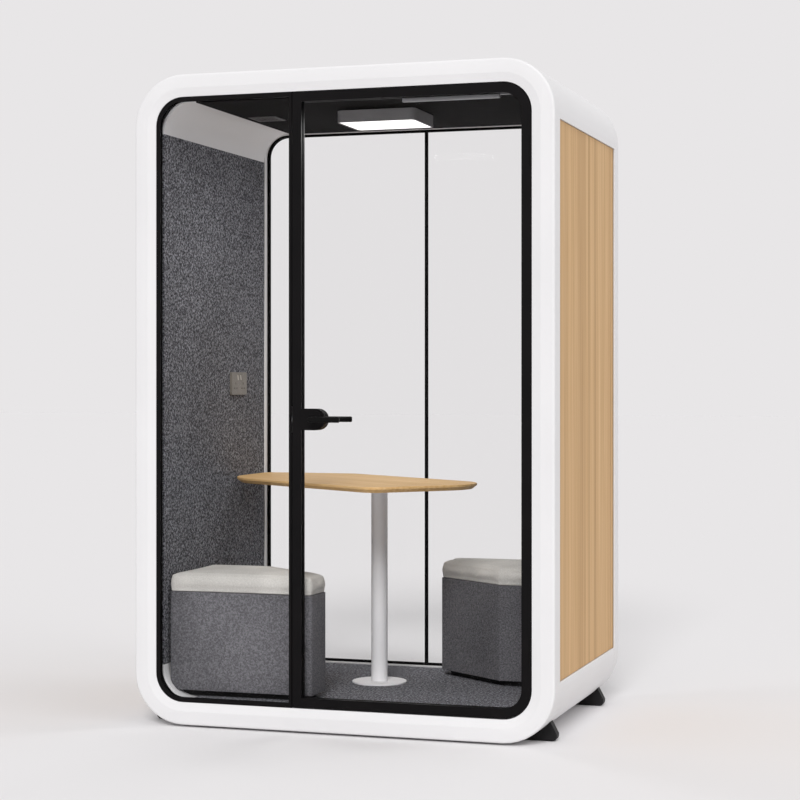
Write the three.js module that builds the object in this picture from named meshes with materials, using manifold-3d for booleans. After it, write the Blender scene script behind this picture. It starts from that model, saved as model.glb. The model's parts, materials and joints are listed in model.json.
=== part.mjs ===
// Acoustic office pod: a rounded white shell on blade feet, glazed at the front and the rear, with a hinged
// glass door, two padded benches, a table, a ceiling light, a vent with its fan and a twin socket.
// Millimetres, +Z up, the door faces -Y. Depths are measured from the front face towards the rear.

import * as THREE from 'three';
import { mergeVertices } from 'three/addons/utils/BufferGeometryUtils.js';
import Module from 'manifold-3d';

const wasm = await Module();
wasm.setup();

// Fits and smoothness
const fitGap = 0.3;
const runningGap = 0.5;
// How far joined pieces run into each other, and cuts run past the face they open
const overlap = 1;
const cornerSteps = 10;
const smallSteps = 5;
const roundSegments = 24;

// Shell
const podWidth = 1500;
const podDepth = 1040;
const podHeight = 2260;
const shellLift = 7;
const cornerRadius = 178;
const shellWall = 6;
const sidePanelInset = 198;
const sidePanelThickness = 18;
const sidePanelRecess = 6;

// Front and rear frame rings
const frameWall = 4;
const frameEdgeRadius = 8;
const frontRingWidth = 78;
const rearRingWidth = 92;
const ringFlat = 48;
const bevelDepth = 6;
const sideBand = 76;
const revealDepth = 50;

// Blade feet
const footSetback = 129;
const footThickness = 37;
const footReach = 726;
const footLength = 164;
const footNoseHeight = 24;
const footNoseRadius = 16;
const footShoulderSet = 22;

// Lining
const linerInset = 88;
const linerWall = 8;
const coveRadius = 110;
const feltThickness = 8;
const innerWallThickness = 8;
const innerWallLap = 60;
const coreGap = 0.5;
const floorHeight = 90;
const carpetThickness = 5;
const carpetLap = 4;
const ceilingPanelWidth = 1090;
const ceilingPanelMargin = 10;
const ceilingPanelThickness = 4;
const deckWidth = 1090;
const deckThickness = 18;
const bearerWidth = 45;
const bearerCount = 5;

// Fixed pane beside the door
const paneFrameFace = 15;
const paneFrameDepth = 20;
const glazingSetback = 7;
const fixedGlassThickness = 10;
const fixedGlassLap = 8;
const mullionWidth = 10;
const mullionGlassLap = 3;

// Door
const doorWidth = 834;
const doorThickness = 34;
const doorGap = 3.5;
const latchGap = 3;
const doorMember = 32;
const doorGlassThickness = 12;
const doorGlassLap = 5;
const hingeInset = 1;
const hingeEndDistance = 310;
const hingeLength = 90;
const hingeKnuckleCount = 3;
const hingeKnuckleRadius = 3.2;
const hingePinRadius = 1.6;
const hingeLeafThickness = 2;
const hingeLeafDepth = 30;

// Lock and levers
const leverHeight = 1067;
const leverSetback = 83;
const leverReach = 45;
const leverLength = 103;
const leverGripHeight = 19;
const leverGripThickness = 9;
const leverBevel = 1.5;
const leverTipRadius = 3;
const leverNeckRadius = 10;
const leverNeckSeat = 7;
const lockCaseRadius = 36.5;
const lockCaseProud = 3;
const roseRadius = 29;
const roseThickness = 5;
const spindleSize = 8;
const spindleSocket = 14;
const spindleBoreRadius = 6.5;
const boltLength = 57;
const boltThrow = 7;
const boltHeight = 18;
const boltThickness = 12;
const strikeHeight = 90;
const strikeThickness = 1.5;
const strikeMargin = 3;
const strikePocketDepth = 1.3;

// Slide-rail closer
const closerRailLength = 336;
const closerRailOffset = 116;
const closerRailDepth = 17;
const closerChannelHeight = 14;
const closerFlangeHeight = 14;
const closerRailWall = 2.5;
const closerRailDrop = 12;
const sliderLength = 24;
const sliderStart = 16;
const sliderPinRadius = 4;
const closerSpindleSetback = 71.5;
const closerSpindleInset = 79;
const closerSpindleRadius = 8;
const closerArmWidth = 16;
const closerArmTipWidth = 10;
const closerArmThickness = 4;
const closerArmLift = 1;
const closerBodyLength = 150;
const closerBodyDepth = 46;
const closerBodyHeight = 40;
const closerBodyOverhang = 18;

// Rear glazing
const rearGlassThickness = 10;
const rearGasketFace = 8;
const rearGasketDepth = 20;
const rearGasketLip = 4;
const rearStripWeb = 3;
const rearStripWidth = 9;

// Ceiling light
const lightLength = 294;
const lightWidth = 245;
const lightDrop = 43;
const lightCorner = 20;
const lightWall = 6;
const diffuserThickness = 5;
const diffuserRecess = 1;

// Vent and fan
const ventOffset = 462;
const grilleWidth = 106;
const grilleDepth = 112;
const grilleThickness = 3;
const grilleBorder = 8;
const grilleColumns = 5;
const grilleRows = 8;
const grilleBar = 3.2;
const ductSize = 84;
const fanSize = 120;
const fanDepth = 38;
const fanBoreRadius = 52;
const fanTipGap = 4;
const fanSpiderThickness = 6;
const fanSpiderWidth = 8;
const fanHubRadius = 17;
const fanHubHeight = 22;
const fanAxleRadius = 3;
const fanBladeCount = 7;
const fanBladeChord = 22;
const fanBladeThickness = 2;
const fanBladePitch = 35;

// Twin socket
const socketWidth = 146;
const socketHeight = 86;
const socketThickness = 9;
const socketCorner = 6;
const socketDepth = 714;
const socketCentre = 1188;
const outletSpacing = 72;
const rockerOffset = 14;
const rockerRise = 22;
const rockerWidth = 12;
const rockerHeight = 20;
const rockerThickness = 7;
const rockerTilt = 6;
const rockerGap = 1;
const pinSlotLong = 9;
const pinSlotShort = 5;
const pinSlotSpread = 11;
const pinSlotDrop = 18;

// Table
const tableHeight = 837;
const tableThickness = 20;
const tableEdgeBand = 8;
const tableArris = 1.5;
const tableUndercut = 16;
const tableWallGap = 10;
const tableWallEnd = 593;
const tableWallCorner = 310;
const tableNose = { x: 97, depth: 47 };
const tableNoseCorner = 70;
const tableEnd = { x: 455, depth: 446 };
const tableEndCorner = 190;
const tableRearEnd = -288;
const tableRear = 998;
const tableRearCorner = 40;
const tableColumnX = -45;
const tableColumnDepth = 582;
const tableColumnRadius = 30;
const tableBaseRadius = 100;
const tableBaseThickness = 6;
const tablePlateSize = 200;
const tablePlateThickness = 5;

// Benches
const benchLeft = -652;
const benchRight = -121;
const benchFront = 75;
const benchRear = 428;
const benchSplayX = -398;
const benchSplayDepth = 216;
const benchCorner = 10;
const benchPlinthInset = 30;
const benchPlinthHeight = 21;
const benchBodyTop = 460;
const cushionThickness = 59;
const cushionCrown = 12;
const cushionBelly = 2;
const cushionPinch = 2;
const cushionShoulder = 8;
const cushionSideRows = 5;
const cushionShoulderRows = 4;
const cushionCrownRows = 5;
const cushionEdgeSteps = 4;

// The lever stands out in front of the shell, so the shell sits back by half of its reach
const front = -(podDepth - leverReach) / 2;
const halfWidth = podWidth / 2;
const panelBottom = shellLift + sidePanelInset;
const panelTop = podHeight - sidePanelInset;
const linerX = halfWidth - linerInset;
const ceilingHeight = podHeight - linerInset;
const linerFront = revealDepth;
const linerRear = podDepth - revealDepth;
const carpetTop = floorHeight + carpetThickness;
const coveTop = ceilingHeight - coveRadius;
const openingLow = shellLift + frontRingWidth;
const openingHigh = podHeight - frontRingWidth;
const openingX = halfWidth - frontRingWidth;
const openingRadius = cornerRadius - frontRingWidth;
const doorRight = openingX - doorGap;
const doorLeft = doorRight - doorWidth;
const doorLow = openingLow + doorGap;
const doorHigh = openingHigh - doorGap;
const doorRadius = openingRadius - doorGap;
const doorFront = glazingSetback;
const doorRear = doorFront + doorThickness;
const doorMiddle = (doorFront + doorRear) / 2;
const hingeX = doorRight - hingeInset;
const hingeDepth = (bevelDepth + doorFront) / 2;
const hingeHeights = [hingeEndDistance, podHeight - hingeEndDistance];
const leverX = doorLeft + leverSetback;
const caseFront = doorFront - lockCaseProud;
const mullionRight = doorLeft - latchGap;
const mullionLeft = mullionRight - mullionWidth;
const ceilingFace = ceilingHeight - fitGap - ceilingPanelThickness;

const pod = new THREE.Group();

const paint = (color, roughness, metalness) => new THREE.MeshStandardMaterial({ color, roughness, metalness });
const whitePaint = paint('#efeeee', 0.5, 0);
const oak = paint('#c4a47a', 0.55, 0);
const acousticWool = paint('#6f6e6c', 0.95, 0);
const darkFelt = paint('#4c4c50', 0.95, 0);
const lightFabric = paint('#c6c3be', 0.95, 0);
const greyFabric = paint('#77757a', 0.95, 0);
const darkPanel = paint('#1f1c1d', 0.9, 0);
const carpetPile = paint('#35343a', 1, 0);
const plywood = paint('#b08f66', 0.8, 0);
const blackFrame = paint('#2d2b2c', 0.45, 0.3);
const blackRubber = paint('#151415', 0.8, 0);
const clearGlass = paint('#dfe6e4', 0.05, 0);
const blackPlastic = paint('#1b1a1b', 0.6, 0);
const silverAluminium = paint('#b8b8b8', 0.35, 0.9);
const steel = paint('#9a9a9c', 0.35, 1);
const greyHousing = paint('#595758', 0.6, 0);
const opalDiffuser = paint('#ffffff', 0.6, 0);
const warmGreyPlastic = paint('#6f6a63', 0.5, 0);

const addPart = (name, geometry, material) => {
  const mesh = new THREE.Mesh(geometry, material);
  mesh.name = name;
  pod.add(mesh);
};

// Positions alone, with shared corners merged
const weld = (geometry) => {
  geometry.deleteAttribute('normal');
  geometry.deleteAttribute('uv');
  return mergeVertices(geometry, 1e-4);
};

const toSolid = (geometry) => {
  const welded = weld(geometry);
  const vertProperties = new Float32Array(welded.attributes.position.array);
  const triVerts = new Uint32Array(welded.index.array);
  return new wasm.Manifold(new wasm.Mesh({ numProp: 3, vertProperties, triVerts }));
};

const toGeometry = (solid) => {
  const mesh = solid.getMesh();
  const geometry = new THREE.BufferGeometry();
  geometry.setAttribute('position', new THREE.BufferAttribute(new Float32Array(mesh.vertProperties), 3));
  geometry.setIndex(new THREE.BufferAttribute(new Uint32Array(mesh.triVerts), 1));
  return geometry;
};

const cut = (geometry, ...tools) => {
  const whole = toSolid(geometry);
  return toGeometry(tools.reduce((solid, tool) => solid.subtract(toSolid(tool)), whole));
};

const join = (geometry, ...others) => {
  const whole = toSolid(geometry);
  return toGeometry(others.reduce((solid, other) => solid.add(toSolid(other)), whole));
};

// Box between two x values, two depths and two heights
const block = (x0, x1, depth0, depth1, z0, z1) => {
  const geometry = new THREE.BoxGeometry(x1 - x0, depth1 - depth0, z1 - z0);
  geometry.translate((x0 + x1) / 2, front + (depth0 + depth1) / 2, (z0 + z1) / 2);
  return geometry;
};

// Upright and fore-and-aft round bars
const post = (x, depth, z0, z1, radius) => {
  const geometry = new THREE.CylinderGeometry(radius, radius, z1 - z0, roundSegments);
  geometry.rotateX(Math.PI / 2);
  geometry.translate(x, front + depth, (z0 + z1) / 2);
  return geometry;
};

const bar = (x, z, depth0, depth1, radius) => {
  const geometry = new THREE.CylinderGeometry(radius, radius, depth1 - depth0, roundSegments);
  geometry.translate(x, front + (depth0 + depth1) / 2, z);
  return geometry;
};

// Convex outline with rounded corners, drawn in by an inset. A corner of radius 0 stays sharp.
// Straight runs can be split up, and their middles drawn in further by a sag.
const outline = (corners, { inset = 0, arcSteps = cornerSteps, edgeSteps = 1, sag = 0 } = {}) => {
  const count = corners.length;
  const sides = corners.map((corner, i) => {
    const next = corners[(i + 1) % count];
    const along = new THREE.Vector2(next.x - corner.x, next.y - corner.y).normalize();
    return { along, inward: new THREE.Vector2(-along.y, along.x) };
  });
  const arcs = corners.map((corner, i) => {
    const before = sides[(i + count - 1) % count];
    const after = sides[i];
    const turn = before.along.angleTo(after.along);
    const reach = inset / (1 + before.inward.dot(after.inward));
    const tip = new THREE.Vector2(corner.x, corner.y);
    tip.addScaledVector(before.inward, reach).addScaledVector(after.inward, reach);
    if (corner.r === 0) {
      return [tip];
    }
    const radius = corner.r - inset;
    const start = tip.clone().addScaledVector(before.along, -radius * Math.tan(turn / 2));
    const centre = start.clone().addScaledVector(before.inward, radius);
    return Array.from({ length: arcSteps + 1 }, (_, step) => (
      start.clone().rotateAround(centre, (turn * step) / arcSteps)
    ));
  });
  return arcs.flatMap((arc, i) => {
    const last = arc[arc.length - 1];
    const next = arcs[(i + 1) % count][0];
    const run = Array.from({ length: edgeSteps - 1 }, (_, step) => {
      const share = (step + 1) / edgeSteps;
      return last.clone().lerp(next, share).addScaledVector(sides[i].inward, sag * Math.sin(Math.PI * share));
    });
    return [...arc, ...run];
  });
};

// Corners of a rectangle, from the low left one round to the high left one
const rectangle = (x0, x1, y0, y1, radii) => [
  { x: x0, y: y0, r: radii[0] },
  { x: x1, y: y0, r: radii[1] },
  { x: x1, y: y1, r: radii[2] },
  { x: x0, y: y1, r: radii[3] },
];

const evenly = (radius) => [radius, radius, radius, radius];

const extruded = (points, length, holes) => {
  const shape = new THREE.Shape(points);
  shape.holes = holes.map((hole) => new THREE.Path(hole));
  return new THREE.ExtrudeGeometry(shape, { depth: length, bevelEnabled: false });
};

// Upright sheet: an outline in x and z, through a range of depths
const sheet = (points, depth0, depth1) => {
  const geometry = extruded(points, depth1 - depth0, []);
  geometry.rotateX(Math.PI / 2);
  geometry.translate(0, front + depth1, 0);
  return geometry;
};

// Flat plate: an outline in x and depth, through a range of heights
const plate = (points, z0, z1, holes = []) => {
  const geometry = extruded(points, z1 - z0, holes);
  geometry.translate(0, front, z0);
  return geometry;
};

// Rail: a section in depth and z, through a range of x
const rail = (points, x0, x1) => {
  const geometry = extruded(points, x1 - x0, []);
  const across = new THREE.Vector3(0, 1, 0);
  const up = new THREE.Vector3(0, 0, 1);
  const along = new THREE.Vector3(1, 0, 0);
  geometry.applyMatrix4(new THREE.Matrix4().makeBasis(across, up, along));
  geometry.translate(x0, front, 0);
  return geometry;
};

// Three sides of a ring: the outer outline out and the inner one back, from the given point
const openRing = (outer, inner, first) => {
  const from = (points) => [...points.slice(first), ...points.slice(0, first)];
  return [...from(outer), ...from(inner).reverse()];
};

// Arch over the pod's width, standing up or hanging down from its springing height
const arch = (half, springing, crown, radius, wall) => {
  const rise = Math.abs(crown - springing);
  const way = Math.sign(crown - springing);
  const outer = outline(rectangle(-half, half, 0, rise, [0, 0, radius, radius]));
  const reduced = radius - wall;
  const inner = outline(rectangle(wall - half, half - wall, 0, rise - wall, [0, 0, reduced, reduced]));
  return openRing(outer, inner, 1).map((p) => new THREE.Vector2(p.x, springing + way * p.y));
};

// Skin over a row of loops, capped at both ends or closed round on itself
const skin = (loops, capped) => {
  const count = loops[0].length;
  const index = [];
  const spans = capped ? loops.length - 1 : loops.length;
  for (let i = 0; i < spans; i += 1) {
    const here = i * count;
    const there = ((i + 1) % loops.length) * count;
    for (let k = 0; k < count; k += 1) {
      const next = (k + 1) % count;
      index.push(here + k, here + next, there + next, here + k, there + next, there + k);
    }
  }
  if (capped) {
    const top = (loops.length - 1) * count;
    const faces = (loop) => THREE.ShapeUtils.triangulateShape(loop.map((p) => new THREE.Vector2(p.x, p.y)), []);
    faces(loops[0]).forEach(([a, b, c]) => index.push(c, b, a));
    faces(loops[loops.length - 1]).forEach(([a, b, c]) => index.push(top + a, top + b, top + c));
  }
  const geometry = new THREE.BufferGeometry();
  const positions = loops.flat().flatMap((p) => [p.x, p.y, p.z]);
  geometry.setAttribute('position', new THREE.Float32BufferAttribute(positions, 3));
  geometry.setIndex(index);
  return geometry;
};

// Upright ring: a section of insets and depths, swept round an outline in x and z
const ring = (corners, section) => skin(section.map(([inset, depth]) => (
  outline(corners, { inset }).map((p) => new THREE.Vector3(p.x, front + depth, p.y))
)), false);

// Block on the left (-1) or right (1) side, between two distances from the middle
const sideBlock = (side, near, far, depth0, depth1, z0, z1) => {
  const [x0, x1] = side > 0 ? [near, far] : [-far, -near];
  return block(x0, x1, depth0, depth1, z0, z1);
};

const sides = { left: -1, right: 1 };

// Frame rings: a folded channel with a rounded outer edge, a flat band, a bevel and an inner return
const shellCorners = rectangle(-halfWidth, halfWidth, shellLift, podHeight, evenly(cornerRadius));

const frameSection = (ringWidth) => {
  const edge = Array.from({ length: smallSteps + 1 }, (_, step) => {
    const angle = (step / smallSteps) * (Math.PI / 2);
    return [frameEdgeRadius * (1 - Math.cos(angle)), frameEdgeRadius * (1 - Math.sin(angle))];
  });
  return [
    [0, sideBand],
    ...edge,
    [ringFlat, 0],
    [ringWidth, bevelDepth],
    [ringWidth, revealDepth - fitGap],
    [ringWidth - frameWall, revealDepth - fitGap],
    [ringWidth - frameWall, bevelDepth + frameWall],
    [ringFlat, frameWall],
    [frameWall, frameWall],
    [frameWall, sideBand],
  ];
};

addPart('front_frame', ring(shellCorners, frameSection(frontRingWidth)), whitePaint);

const rearSection = frameSection(rearRingWidth).map(([inset, depth]) => [inset, podDepth - depth]);
addPart('rear_frame', ring(shellCorners, rearSection.reverse()), whitePaint);

// Roof and base skins between the rings
const skinFront = sideBand + fitGap;
const skinRear = podDepth - sideBand - fitGap;
addPart('roof_shell', sheet(arch(halfWidth, panelTop, podHeight, cornerRadius, shellWall), skinFront, skinRear),
  whitePaint);
addPart('base_shell', sheet(arch(halfWidth, panelBottom, shellLift, cornerRadius, shellWall), skinFront, skinRear),
  whitePaint);

// Side walls, from the oak panel inwards to the felt
const panelOuter = halfWidth - sidePanelRecess;
const panelInner = panelOuter - sidePanelThickness;
const feltOuter = linerX + feltThickness - fitGap;
const wallInner = linerX + linerWall + fitGap;
const wallOuter = wallInner + innerWallThickness;
Object.entries(sides).forEach(([name, side]) => {
  addPart(`${name}_oak_panel`, sideBlock(side, panelInner, panelOuter, skinFront, skinRear, panelBottom + fitGap,
    panelTop - fitGap), oak);
  addPart(`${name}_wall_core`, sideBlock(side, wallOuter + coreGap, panelInner - coreGap, skinFront, skinRear,
    panelBottom, panelTop), acousticWool);
  addPart(`${name}_inner_wall`, sideBlock(side, wallInner, wallOuter, linerFront, linerRear,
    panelBottom - innerWallLap, coveTop + innerWallLap), whitePaint);
  addPart(`${name}_felt_panel`, sideBlock(side, linerX, feltOuter, linerFront, linerRear, panelBottom + fitGap,
    coveTop - fitGap), darkFelt);
});

// Coved linings over and under the cabin, and what they carry
const linerHalf = linerX + linerWall;
const linerRadius = coveRadius + linerWall;
const ventDepth = podDepth / 2;
const closerSpindleX = hingeX - closerSpindleInset;
const closerSpindleDepth = hingeDepth + closerSpindleSetback;
const ductHole = block(-ventOffset - ductSize / 2, -ventOffset + ductSize / 2, ventDepth - ductSize / 2,
  ventDepth + ductSize / 2, ceilingFace - overlap,
  ceilingHeight + linerWall + overlap);
const spindleHole = post(closerSpindleX, closerSpindleDepth, coveTop, podHeight, closerSpindleRadius + runningGap);
const upperArch = arch(linerHalf, coveTop, ceilingHeight + linerWall, linerRadius, linerWall);
addPart('upper_liner', cut(sheet(upperArch, linerFront, linerRear), ductHole, spindleHole), whitePaint);
const lowerArch = arch(linerHalf, panelBottom, floorHeight - linerWall, linerRadius, linerWall);
addPart('lower_liner', sheet(lowerArch, linerFront, linerRear), whitePaint);

const ceilingPanel = block(-ceilingPanelWidth / 2, ceilingPanelWidth / 2, linerFront + ceilingPanelMargin,
  linerRear - ceilingPanelMargin, ceilingFace, ceilingHeight - fitGap);
addPart('ceiling_panel', cut(ceilingPanel, ductHole), darkPanel);
const carpetHalf = deckWidth / 2 + carpetLap;
addPart('carpet', block(-carpetHalf, carpetHalf, linerFront, linerRear, floorHeight + fitGap, carpetTop),
  carpetPile);

// Floor deck: a board on fore-and-aft bearers, as one comb-shaped section
const deckTop = floorHeight - linerWall - fitGap;
const deckUnder = deckTop - deckThickness;
const bearerLow = shellLift + shellWall + fitGap;
const bearerPitch = (deckWidth - bearerWidth) / (bearerCount - 1);
const comb = [new THREE.Vector2(deckWidth / 2, deckTop), new THREE.Vector2(-deckWidth / 2, deckTop)];
for (let i = 0; i < bearerCount; i += 1) {
  const x = i * bearerPitch - deckWidth / 2;
  const inner = [new THREE.Vector2(x, deckUnder), new THREE.Vector2(x, bearerLow)];
  const outer = [new THREE.Vector2(x + bearerWidth, bearerLow), new THREE.Vector2(x + bearerWidth, deckUnder)];
  comb.push(...(i === 0 ? inner.slice(1) : inner), ...(i === bearerCount - 1 ? outer.slice(0, 1) : outer));
}
addPart('floor_deck', sheet(comb, skinFront, skinRear), plywood);

// Blade feet, cut to the curve under the shell's lower corners
const footInner = footReach - footLength;
const footShoulder = footReach - footShoulderSet;
const footProfile = () => {
  const centreX = halfWidth - cornerRadius;
  const centreZ = shellLift + cornerRadius;
  const bend = cornerRadius + fitGap;
  const noseX = footReach - footNoseRadius;
  const nose = Array.from({ length: smallSteps + 1 }, (_, step) => {
    const angle = (step / smallSteps) * (Math.PI / 2);
    const x = noseX + footNoseRadius * Math.sin(angle);
    return new THREE.Vector2(x, footNoseRadius * (1 - Math.cos(angle)));
  });
  const widest = Math.asin((footShoulder - centreX) / bend);
  const seat = Array.from({ length: cornerSteps + 1 }, (_, step) => {
    const angle = widest * (1 - step / cornerSteps);
    return new THREE.Vector2(centreX + bend * Math.sin(angle), centreZ - bend * Math.cos(angle));
  });
  const heel = [new THREE.Vector2(footInner, shellLift - fitGap), new THREE.Vector2(footInner, 0)];
  return [...nose, new THREE.Vector2(footReach, footNoseHeight), ...seat, ...heel];
};
const footDepths = { front: footSetback, rear: podDepth - footSetback - footThickness };
Object.entries(footDepths).forEach(([end, depth]) => {
  Object.entries(sides).forEach(([name, side]) => {
    const points = footProfile().map((p) => new THREE.Vector2(side * p.x, p.y));
    addPart(`${end}_${name}_foot`, sheet(points, depth, depth + footThickness), blackPlastic);
  });
});

// Fixed pane: a slim frame on three sides, closed by the mullion
const paneLeft = -openingX + fitGap;
const paneRight = mullionLeft - fitGap;
const paneLow = openingLow + fitGap;
const paneHigh = openingHigh - fitGap;
const paneRadius = openingRadius - fitGap;
const paneInnerRadius = paneRadius - paneFrameFace;
const paneOuter = outline(rectangle(paneLeft, paneRight, paneLow, paneHigh, [paneRadius, 0, 0, paneRadius]));
const paneInner = outline(rectangle(paneLeft + paneFrameFace, paneRight, paneLow + paneFrameFace,
  paneHigh - paneFrameFace, [paneInnerRadius, 0, 0, paneInnerRadius]));
const glassInset = paneFrameFace - fixedGlassLap;
const fixedGlassFront = glazingSetback + (paneFrameDepth - fixedGlassThickness) / 2;
const fixedGlassRear = fixedGlassFront + fixedGlassThickness;
const fixedGlassCorners = rectangle(paneLeft + glassInset, mullionLeft + mullionGlassLap, paneLow + glassInset,
  paneHigh - glassInset, [paneRadius - glassInset, 0, 0, paneRadius - glassInset]);
const fixedGlassGroove = sheet(outline(fixedGlassCorners, { inset: -fitGap }), fixedGlassFront - fitGap,
  fixedGlassRear + fitGap);
const paneFrame = sheet(openRing(paneOuter, paneInner, cornerSteps + 2), glazingSetback,
  glazingSetback + paneFrameDepth);
addPart('fixed_pane_frame', cut(paneFrame, fixedGlassGroove), blackFrame);
addPart('fixed_glass', sheet(outline(fixedGlassCorners), fixedGlassFront, fixedGlassRear), clearGlass);

// Mullion with the strike plate let into its door side, open to the front for the latch bolt
const boltHalf = boltHeight / 2 + runningGap;
const boltFront = doorMiddle - boltThickness / 2 - runningGap;
const boltRear = doorMiddle + boltThickness / 2 + runningGap;
const boltTip = doorLeft - boltThrow;
const strikeLow = leverHeight - strikeHeight / 2;
const strikeHigh = leverHeight + strikeHeight / 2;
const strikePocket = block(boltTip - strikePocketDepth, doorLeft, doorFront - overlap, boltRear,
  leverHeight - boltHalf, leverHeight + boltHalf);
const strikeRecess = block(mullionRight - strikeThickness, doorLeft, doorFront + strikeMargin - fitGap,
  doorRear - strikeMargin + fitGap, strikeLow - fitGap, strikeHigh + fitGap);
const mullionBar = block(mullionLeft, mullionRight, doorFront, doorRear, paneLow, paneHigh);
addPart('mullion', cut(mullionBar, fixedGlassGroove, strikePocket, strikeRecess), blackFrame);
const strikePlate = block(mullionRight - strikeThickness + fitGap, mullionRight, doorFront + strikeMargin,
  doorRear - strikeMargin, strikeLow, strikeHigh);
addPart('strike_plate', cut(strikePlate, strikePocket), steel);

// Door frame: a grooved section round a leaf whose hinge-side corners follow the opening
const doorCorners = rectangle(doorLeft, doorRight, doorLow, doorHigh, [0, doorRadius, doorRadius, 0]);
const doorGlassFront = doorMiddle - doorGlassThickness / 2;
const doorGlassRear = doorMiddle + doorGlassThickness / 2;
const grooveInset = doorMember - doorGlassLap - fitGap;
const doorSection = [
  [0, doorRear],
  [0, doorFront],
  [doorMember, doorFront],
  [doorMember, doorGlassFront - fitGap],
  [grooveInset, doorGlassFront - fitGap],
  [grooveInset, doorGlassRear + fitGap],
  [doorMember, doorGlassRear + fitGap],
  [doorMember, doorRear],
];
const boltChannel = block(doorLeft - overlap, leverX - spindleBoreRadius - boltThrow, boltFront, boltRear,
  leverHeight - boltHalf, leverHeight + boltHalf);

// Butt hinges: a leaf on the return carries the outer knuckles and the pin, and the door the middle knuckle
const knuckleLength = hingeLength / hingeKnuckleCount;
const knuckle = (height, length, radius) => (
  post(hingeX, hingeDepth, height - length / 2, height + length / 2, radius)
);
const hingePockets = hingeHeights.flatMap((height) => [-knuckleLength, knuckleLength].map((rise) => (
  knuckle(height + rise, knuckleLength + 2 * fitGap, hingeKnuckleRadius + runningGap)
)));
const doorKnuckles = hingeHeights.map((height) => (
  knuckle(height, knuckleLength - 2 * fitGap, hingeKnuckleRadius)
));
const pinBores = hingeHeights.map((height) => knuckle(height, hingeLength, hingePinRadius + fitGap));
const doorRing = cut(ring(doorCorners, doorSection), boltChannel, ...hingePockets);
addPart('door_frame', cut(join(doorRing, ...doorKnuckles), ...pinBores), blackFrame);
const leafFar = openingX - fitGap;
hingeHeights.forEach((height, i) => {
  const leaf = block(leafFar - hingeLeafThickness, leafFar, hingeDepth, hingeDepth + hingeLeafDepth,
    height - hingeLength / 2, height + hingeLength / 2);
  const fixed = cut(join(leaf, knuckle(height, hingeLength, hingeKnuckleRadius)),
    knuckle(height, knuckleLength, hingeKnuckleRadius + runningGap));
  addPart(`${['lower', 'upper'][i]}_hinge`, join(fixed, knuckle(height, hingeLength, hingePinRadius)), blackFrame);
});

// Lock case: a plate with a round end and a rose on each face, let into the edge of the door glass
const stileInner = doorLeft + doorMember;
const caseRear = doorRear + lockCaseProud;
const caseOutline = (growth) => {
  const left = stileInner + fitGap - growth;
  const right = leverX + lockCaseRadius + growth;
  const low = leverHeight - lockCaseRadius - growth;
  const high = leverHeight + lockCaseRadius + growth;
  const round = lockCaseRadius + growth - fitGap;
  return outline(rectangle(left, right, low, high, [0, round, round, 0]));
};
const doorGlass = sheet(outline(doorCorners, { inset: grooveInset + fitGap }), doorGlassFront, doorGlassRear);
const caseNotch = sheet(caseOutline(runningGap).map((p) => new THREE.Vector2(
  p.x < stileInner ? doorLeft : p.x,
  p.y,
)), doorFront, doorRear);
addPart('door_glass', cut(doorGlass, caseNotch), clearGlass);

const lockCase = join(
  sheet(caseOutline(0), caseFront, caseRear),
  bar(leverX, leverHeight, caseFront - roseThickness, caseFront + overlap, roseRadius),
  bar(leverX, leverHeight, caseRear - overlap, caseRear + roseThickness, roseRadius),
);
const seatFront = caseFront + leverNeckSeat + runningGap;
const seatRear = caseRear - leverNeckSeat - runningGap;
const neckBore = leverNeckRadius + runningGap;
addPart('lock_case', cut(
  lockCase,
  bar(leverX, leverHeight, caseFront - roseThickness - overlap, seatFront, neckBore),
  bar(leverX, leverHeight, seatRear, caseRear + roseThickness + overlap, neckBore),
  bar(leverX, leverHeight, caseFront, caseRear, spindleBoreRadius),
  boltChannel,
), blackFrame);

// Levers: a bevelled grip on a round neck, built for the outside and turned over for the inside
const gripRadius = leverGripHeight / 2 - leverBevel - fitGap;
const gripShape = new THREE.Shape(outline(rectangle(
  leverX - leverGripHeight / 2 + leverBevel,
  leverX + leverLength - leverBevel,
  leverHeight - leverGripHeight / 2 + leverBevel,
  leverHeight + leverGripHeight / 2 - leverBevel,
  [gripRadius, leverTipRadius, leverTipRadius, gripRadius],
), { arcSteps: smallSteps }));
const leverGrip = () => {
  const geometry = new THREE.ExtrudeGeometry(gripShape, {
    depth: leverGripThickness - 2 * leverBevel,
    bevelThickness: leverBevel,
    bevelSize: leverBevel,
    bevelSegments: 2,
  });
  geometry.rotateX(Math.PI / 2);
  geometry.translate(0, front - leverReach + leverGripThickness - leverBevel, 0);
  return geometry;
};
const socketSize = spindleSize / 2 + fitGap;
const neckEnd = caseFront + leverNeckSeat;
const spindleFront = neckEnd - spindleSocket;
const outerLever = cut(
  join(leverGrip(), bar(leverX, leverHeight, -leverReach + leverGripThickness / 2, neckEnd, leverNeckRadius)),
  block(leverX - socketSize, leverX + socketSize, spindleFront - fitGap, neckEnd + overlap,
    leverHeight - socketSize, leverHeight + socketSize),
);
addPart('outer_lever', outerLever, blackFrame);
const turnedOver = outerLever.clone();
turnedOver.translate(-leverX, -front - doorMiddle, -leverHeight);
turnedOver.rotateX(Math.PI);
turnedOver.translate(leverX, front + doorMiddle, leverHeight);
addPart('inner_lever', turnedOver, blackFrame);
addPart('lever_spindle', block(leverX - spindleSize / 2, leverX + spindleSize / 2, spindleFront,
  2 * doorMiddle - spindleFront, leverHeight - spindleSize / 2, leverHeight + spindleSize / 2), steel);

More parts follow.
